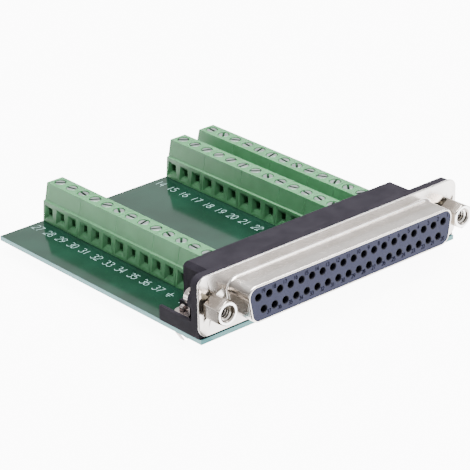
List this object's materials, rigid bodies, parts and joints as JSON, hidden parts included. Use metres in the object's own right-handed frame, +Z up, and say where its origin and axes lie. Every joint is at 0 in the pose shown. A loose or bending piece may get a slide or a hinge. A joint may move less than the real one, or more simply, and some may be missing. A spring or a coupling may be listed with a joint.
{
  "type": "d-sub socket",
  "caption": "Right-angle female D-sub socket on a green circuit board, wired to rows of rising-cage screw terminals along the board.",
  "frame": {"origin": "centre of the contact pattern, on the front face of the connector's metal flange", "axes": "+X along the connector to the viewer's right when facing the board from behind the mating plug, +Y from the mating side back over the board, +Z up; seen from the front (looking along +Y) X runs to the right"},
  "size_m": [0.0694, 0.0706, 0.0165],
  "materials": {
    "solder_mask": "glossy green solder mask over glass-fibre laminate",
    "nickel_shell": "bright nickel plate on drawn steel",
    "insulator_plastic": "grey glass-filled plastic",
    "contact_metal": "gold-flashed copper alloy, tinned tails",
    "bracket_plastic": "black glass-filled plastic",
    "jackscrew_metal": "nickel-plated steel, turned",
    "strap_metal": "tinned steel sheet",
    "terminal_plastic": "light green moulded plastic",
    "cage_metal": "nickel-plated steel",
    "pin_metal": "tinned brass",
    "screw_metal": "zinc-plated steel"
  },
  "bodies": {
    "root": {"circuit_board": "solder_mask", "front_shell": "nickel_shell", "contact_insulator": "insulator_plastic", "upper_contacts": "contact_metal", "lower_contacts": "contact_metal", "angle_bracket": "bracket_plastic", "left_jackscrew": "jackscrew_metal", "right_jackscrew": "jackscrew_metal", "left_ground_strap": "strap_metal", "right_ground_strap": "strap_metal", "board_locks": "strap_metal", "left_terminal_blocks": "terminal_plastic", "middle_terminal_blocks": "terminal_plastic", "right_terminal_blocks": "terminal_plastic", "left_clamp_cages": "cage_metal", "middle_clamp_cages": "cage_metal", "right_clamp_cages": "cage_metal", "left_terminal_pins": "pin_metal", "middle_terminal_pins": "pin_metal", "right_terminal_pins": "pin_metal"},
    "left_screw_1": {"left_screw_1": "screw_metal"},
    "left_screw_2": {"left_screw_2": "screw_metal"},
    "left_screw_3": {"left_screw_3": "screw_metal"},
    "left_screw_4": {"left_screw_4": "screw_metal"},
    "left_screw_5": {"left_screw_5": "screw_metal"},
    "left_screw_6": {"left_screw_6": "screw_metal"},
    "left_screw_7": {"left_screw_7": "screw_metal"},
    "left_screw_8": {"left_screw_8": "screw_metal"},
    "left_screw_9": {"left_screw_9": "screw_metal"},
    "left_screw_10": {"left_screw_10": "screw_metal"},
    "left_screw_11": {"left_screw_11": "screw_metal"},
    "left_screw_12": {"left_screw_12": "screw_metal"},
    "left_screw_13": {"left_screw_13": "screw_metal"},
    "middle_screw_1": {"middle_screw_1": "screw_metal"},
    "middle_screw_2": {"middle_screw_2": "screw_metal"},
    "middle_screw_3": {"middle_screw_3": "screw_metal"},
    "middle_screw_4": {"middle_screw_4": "screw_metal"},
    "middle_screw_5": {"middle_screw_5": "screw_metal"},
    "middle_screw_6": {"middle_screw_6": "screw_metal"},
    "middle_screw_7": {"middle_screw_7": "screw_metal"},
    "middle_screw_8": {"middle_screw_8": "screw_metal"},
    "middle_screw_9": {"middle_screw_9": "screw_metal"},
    "middle_screw_10": {"middle_screw_10": "screw_metal"},
    "middle_screw_11": {"middle_screw_11": "screw_metal"},
    "middle_screw_12": {"middle_screw_12": "screw_metal"},
    "middle_screw_13": {"middle_screw_13": "screw_metal"},
    "right_screw_1": {"right_screw_1": "screw_metal"},
    "right_screw_2": {"right_screw_2": "screw_metal"},
    "right_screw_3": {"right_screw_3": "screw_metal"},
    "right_screw_4": {"right_screw_4": "screw_metal"},
    "right_screw_5": {"right_screw_5": "screw_metal"},
    "right_screw_6": {"right_screw_6": "screw_metal"},
    "right_screw_7": {"right_screw_7": "screw_metal"},
    "right_screw_8": {"right_screw_8": "screw_metal"},
    "right_screw_9": {"right_screw_9": "screw_metal"},
    "right_screw_10": {"right_screw_10": "screw_metal"},
    "right_screw_11": {"right_screw_11": "screw_metal"},
    "right_screw_12": {"right_screw_12": "screw_metal"},
    "right_screw_13": {"right_screw_13": "screw_metal"}
  },
  "joints": [
    {"name": "left_screw_1_turn", "type": "hinge", "parent": "root", "child": "left_screw_1", "pos_m": [-0.01954, 0.06267, 0], "axis": [0, 0, -1], "range_deg": [0, 1170]},
    {"name": "left_screw_2_turn", "type": "hinge", "parent": "root", "child": "left_screw_2", "pos_m": [-0.01954, 0.05871, 0], "axis": [0, 0, -1], "range_deg": [0, 1170]},
    {"name": "left_screw_3_turn", "type": "hinge", "parent": "root", "child": "left_screw_3", "pos_m": [-0.01954, 0.05475, 0], "axis": [0, 0, -1], "range_deg": [0, 1170]},
    {"name": "left_screw_4_turn", "type": "hinge", "parent": "root", "child": "left_screw_4", "pos_m": [-0.01954, 0.05079, 0], "axis": [0, 0, -1], "range_deg": [0, 1170]},
    {"name": "left_screw_5_turn", "type": "hinge", "parent": "root", "child": "left_screw_5", "pos_m": [-0.01954, 0.04683, 0], "axis": [0, 0, -1], "range_deg": [0, 1170]},
    {"name": "left_screw_6_turn", "type": "hinge", "parent": "root", "child": "left_screw_6", "pos_m": [-0.01954, 0.04287, 0], "axis": [0, 0, -1], "range_deg": [0, 1170]},
    {"name": "left_screw_7_turn", "type": "hinge", "parent": "root", "child": "left_screw_7", "pos_m": [-0.01954, 0.03891, 0], "axis": [0, 0, -1], "range_deg": [0, 1170]},
    {"name": "left_screw_8_turn", "type": "hinge", "parent": "root", "child": "left_screw_8", "pos_m": [-0.01954, 0.03495, 0], "axis": [0, 0, -1], "range_deg": [0, 1170]},
    {"name": "left_screw_9_turn", "type": "hinge", "parent": "root", "child": "left_screw_9", "pos_m": [-0.01954, 0.03099, 0], "axis": [0, 0, -1], "range_deg": [0, 1170]},
    {"name": "left_screw_10_turn", "type": "hinge", "parent": "root", "child": "left_screw_10", "pos_m": [-0.01954, 0.02703, 0], "axis": [0, 0, -1], "range_deg": [0, 1170]},
    {"name": "left_screw_11_turn", "type": "hinge", "parent": "root", "child": "left_screw_11", "pos_m": [-0.01954, 0.02307, 0], "axis": [0, 0, -1], "range_deg": [0, 1170]},
    {"name": "left_screw_12_turn", "type": "hinge", "parent": "root", "child": "left_screw_12", "pos_m": [-0.01954, 0.01911, 0], "axis": [0, 0, -1], "range_deg": [0, 1170]},
    {"name": "left_screw_13_turn", "type": "hinge", "parent": "root", "child": "left_screw_13", "pos_m": [-0.01954, 0.01515, 0], "axis": [0, 0, -1], "range_deg": [0, 1170]},
    {"name": "middle_screw_1_turn", "type": "hinge", "parent": "root", "child": "middle_screw_1", "pos_m": [0.01426, 0.06267, 0], "axis": [0, 0, -1], "range_deg": [0, 1170]},
    {"name": "middle_screw_2_turn", "type": "hinge", "parent": "root", "child": "middle_screw_2", "pos_m": [0.01426, 0.05871, 0], "axis": [0, 0, -1], "range_deg": [0, 1170]},
    {"name": "middle_screw_3_turn", "type": "hinge", "parent": "root", "child": "middle_screw_3", "pos_m": [0.01426, 0.05475, 0], "axis": [0, 0, -1], "range_deg": [0, 1170]},
    {"name": "middle_screw_4_turn", "type": "hinge", "parent": "root", "child": "middle_screw_4", "pos_m": [0.01426, 0.05079, 0], "axis": [0, 0, -1], "range_deg": [0, 1170]},
    {"name": "middle_screw_5_turn", "type": "hinge", "parent": "root", "child": "middle_screw_5", "pos_m": [0.01426, 0.04683, 0], "axis": [0, 0, -1], "range_deg": [0, 1170]},
    {"name": "middle_screw_6_turn", "type": "hinge", "parent": "root", "child": "middle_screw_6", "pos_m": [0.01426, 0.04287, 0], "axis": [0, 0, -1], "range_deg": [0, 1170]},
    {"name": "middle_screw_7_turn", "type": "hinge", "parent": "root", "child": "middle_screw_7", "pos_m": [0.01426, 0.03891, 0], "axis": [0, 0, -1], "range_deg": [0, 1170]},
    {"name": "middle_screw_8_turn", "type": "hinge", "parent": "root", "child": "middle_screw_8", "pos_m": [0.01426, 0.03495, 0], "axis": [0, 0, -1], "range_deg": [0, 1170]},
    {"name": "middle_screw_9_turn", "type": "hinge", "parent": "root", "child": "middle_screw_9", "pos_m": [0.01426, 0.03099, 0], "axis": [0, 0, -1], "range_deg": [0, 1170]},
    {"name": "middle_screw_10_turn", "type": "hinge", "parent": "root", "child": "middle_screw_10", "pos_m": [0.01426, 0.02703, 0], "axis": [0, 0, -1], "range_deg": [0, 1170]},
    {"name": "middle_screw_11_turn", "type": "hinge", "parent": "root", "child": "middle_screw_11", "pos_m": [0.01426, 0.02307, 0], "axis": [0, 0, -1], "range_deg": [0, 1170]},
    {"name": "middle_screw_12_turn", "type": "hinge", "parent": "root", "child": "middle_screw_12", "pos_m": [0.01426, 0.01911, 0], "axis": [0, 0, -1], "range_deg": [0, 1170]},
    {"name": "middle_screw_13_turn", "type": "hinge", "parent": "root", "child": "middle_screw_13", "pos_m": [0.01426, 0.01515, 0], "axis": [0, 0, -1], "range_deg": [0, 1170]},
    {"name": "right_screw_1_turn", "type": "hinge", "parent": "root", "child": "right_screw_1", "pos_m": [0.02249, 0.06267, 0], "axis": [0, 0, -1], "range_deg": [0, 1170]},
    {"name": "right_screw_2_turn", "type": "hinge", "parent": "root", "child": "right_screw_2", "pos_m": [0.02249, 0.05871, 0], "axis": [0, 0, -1], "range_deg": [0, 1170]},
    {"name": "right_screw_3_turn", "type": "hinge", "parent": "root", "child": "right_screw_3", "pos_m": [0.02249, 0.05475, 0], "axis": [0, 0, -1], "range_deg": [0, 1170]},
    {"name": "right_screw_4_turn", "type": "hinge", "parent": "root", "child": "right_screw_4", "pos_m": [0.02249, 0.05079, 0], "axis": [0, 0, -1], "range_deg": [0, 1170]},
    {"name": "right_screw_5_turn", "type": "hinge", "parent": "root", "child": "right_screw_5", "pos_m": [0.02249, 0.04683, 0], "axis": [0, 0, -1], "range_deg": [0, 1170]},
    {"name": "right_screw_6_turn", "type": "hinge", "parent": "root", "child": "right_screw_6", "pos_m": [0.02249, 0.04287, 0], "axis": [0, 0, -1], "range_deg": [0, 1170]},
    {"name": "right_screw_7_turn", "type": "hinge", "parent": "root", "child": "right_screw_7", "pos_m": [0.02249, 0.03891, 0], "axis": [0, 0, -1], "range_deg": [0, 1170]},
    {"name": "right_screw_8_turn", "type": "hinge", "parent": "root", "child": "right_screw_8", "pos_m": [0.02249, 0.03495, 0], "axis": [0, 0, -1], "range_deg": [0, 1170]},
    {"name": "right_screw_9_turn", "type": "hinge", "parent": "root", "child": "right_screw_9", "pos_m": [0.02249, 0.03099, 0], "axis": [0, 0, -1], "range_deg": [0, 1170]},
    {"name": "right_screw_10_turn", "type": "hinge", "parent": "root", "child": "right_screw_10", "pos_m": [0.02249, 0.02703, 0], "axis": [0, 0, -1], "range_deg": [0, 1170]},
    {"name": "right_screw_11_turn", "type": "hinge", "parent": "root", "child": "right_screw_11", "pos_m": [0.02249, 0.02307, 0], "axis": [0, 0, -1], "range_deg": [0, 1170]},
    {"name": "right_screw_12_turn", "type": "hinge", "parent": "root", "child": "right_screw_12", "pos_m": [0.02249, 0.01911, 0], "axis": [0, 0, -1], "range_deg": [0, 1170]},
    {"name": "right_screw_13_turn", "type": "hinge", "parent": "root", "child": "right_screw_13", "pos_m": [0.02249, 0.01515, 0], "axis": [0, 0, -1], "range_deg": [0, 1170]}
  ]
}
